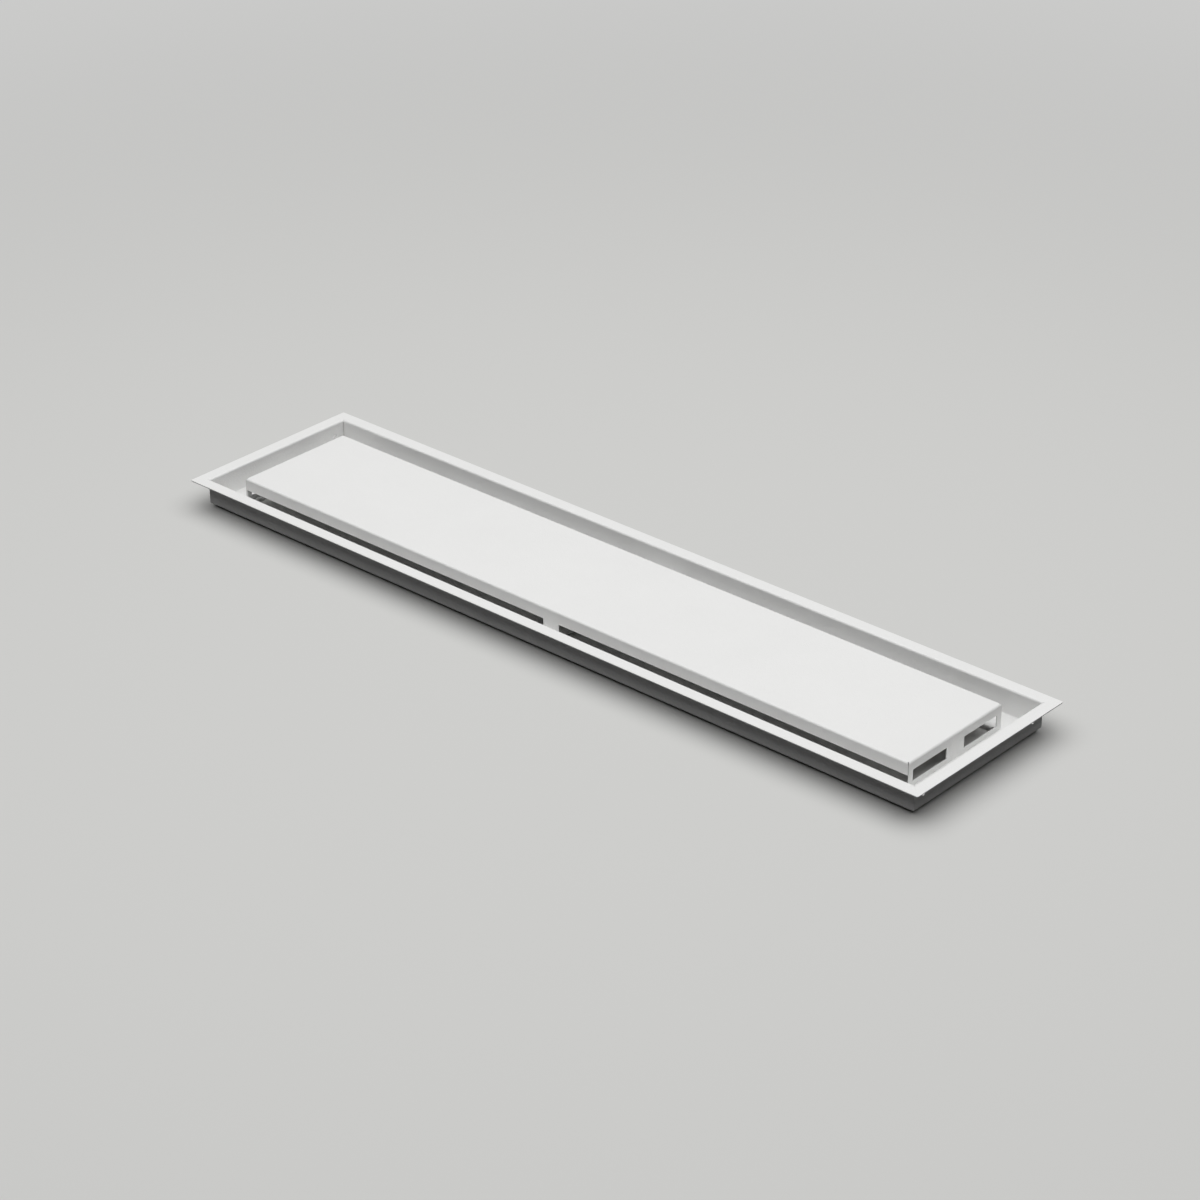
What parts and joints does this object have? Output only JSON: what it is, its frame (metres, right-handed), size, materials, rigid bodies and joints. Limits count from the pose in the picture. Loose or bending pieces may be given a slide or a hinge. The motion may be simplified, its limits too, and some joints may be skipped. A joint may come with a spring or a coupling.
{
  "type": "ceiling vent cover",
  "caption": "Long rectangular ceiling vent cover: a folded sheet frame with a recess, and a raised plate in it whose windowed sides let the air out all round.",
  "frame": {"origin": "centre of the plan, at the lower edge of the throat's lip, on which the cover rests", "axes": "+X along the length, +Y across the width, +Z out of the visible face"},
  "size_m": [0.85, 0.2, 0.028],
  "materials": {
    "frame": "white satin powder coat on folded sheet steel",
    "face_plate": "white satin powder coat on folded sheet steel",
    "strap": "white satin powder coat on folded sheet steel"
  },
  "bodies": {
    "root": {"frame": "frame", "face_plate": "face_plate", "cross_strap": "strap"}
  },
  "joints": []
}
